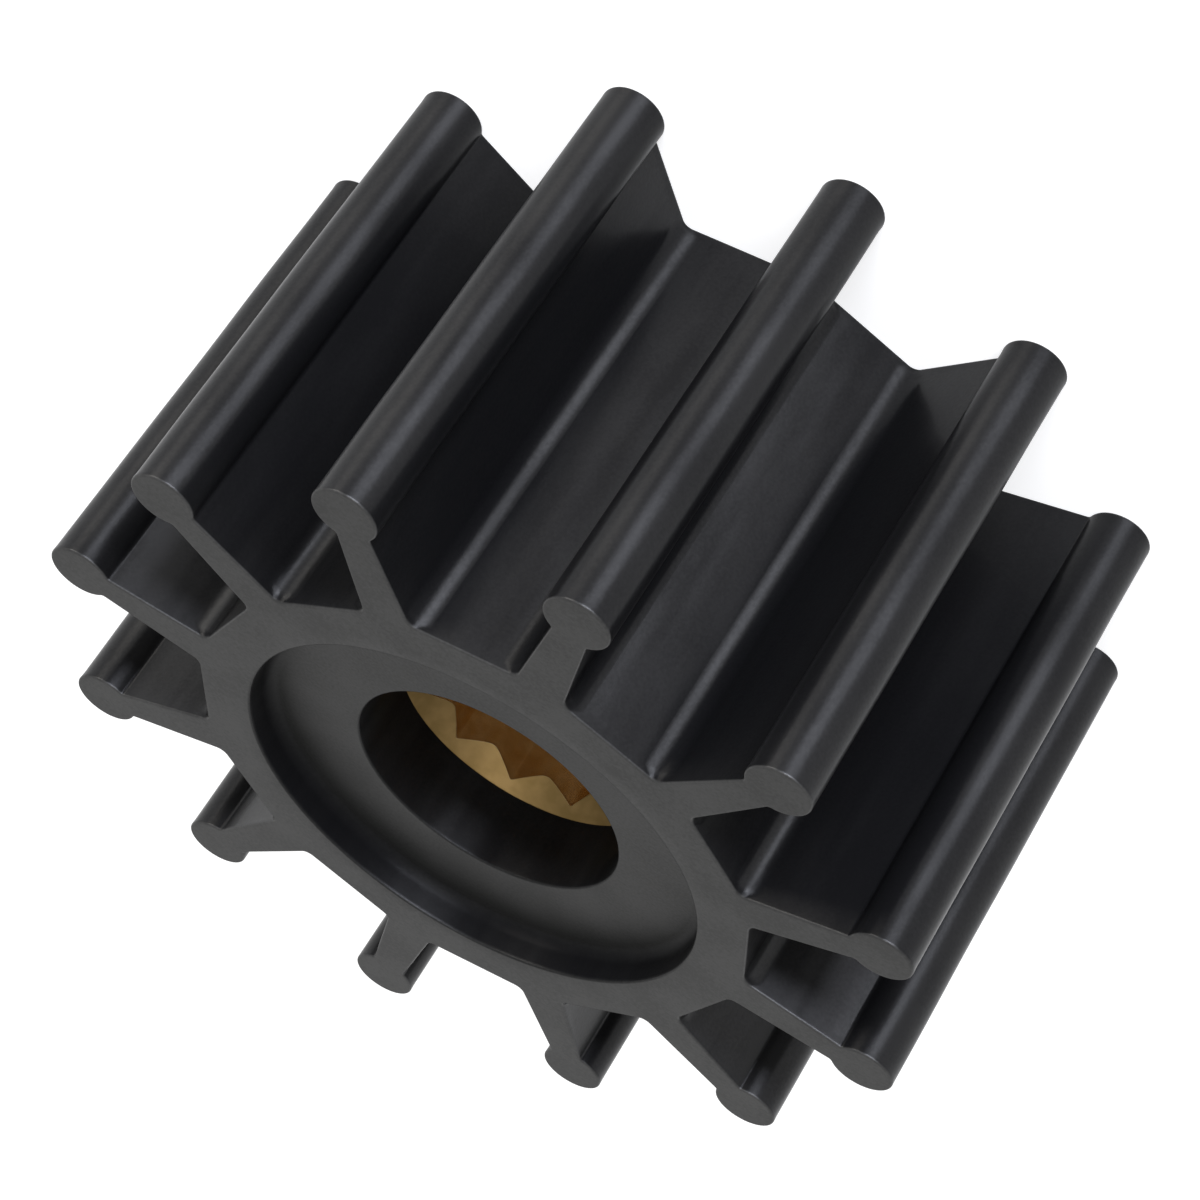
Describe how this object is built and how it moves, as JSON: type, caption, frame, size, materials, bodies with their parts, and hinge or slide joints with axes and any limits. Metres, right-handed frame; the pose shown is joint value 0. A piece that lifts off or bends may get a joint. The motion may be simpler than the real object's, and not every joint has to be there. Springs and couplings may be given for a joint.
{
  "type": "rubber pump impeller",
  "caption": "Flexible rubber pump impeller: a short hub with straight round-tipped radial blades, bonded round a splined brass bush set deep in its bore.",
  "frame": {"origin": "centre of the lower end face, on the shaft axis", "axes": "+Z along the shaft axis towards the upper end face; +X along one blade"},
  "size_m": [0.057, 0.057, 0.0315],
  "materials": {
    "moulded_rubber": "black moulded rubber, satin on the moulded sides, finely ground and matt on the end faces",
    "brass": "machined brass, bright on the lead-in chamfer, dull in the broached spline"
  },
  "bodies": {
    "root": {"rubber_impeller": "moulded_rubber", "brass_bush": "brass"}
  },
  "joints": []
}
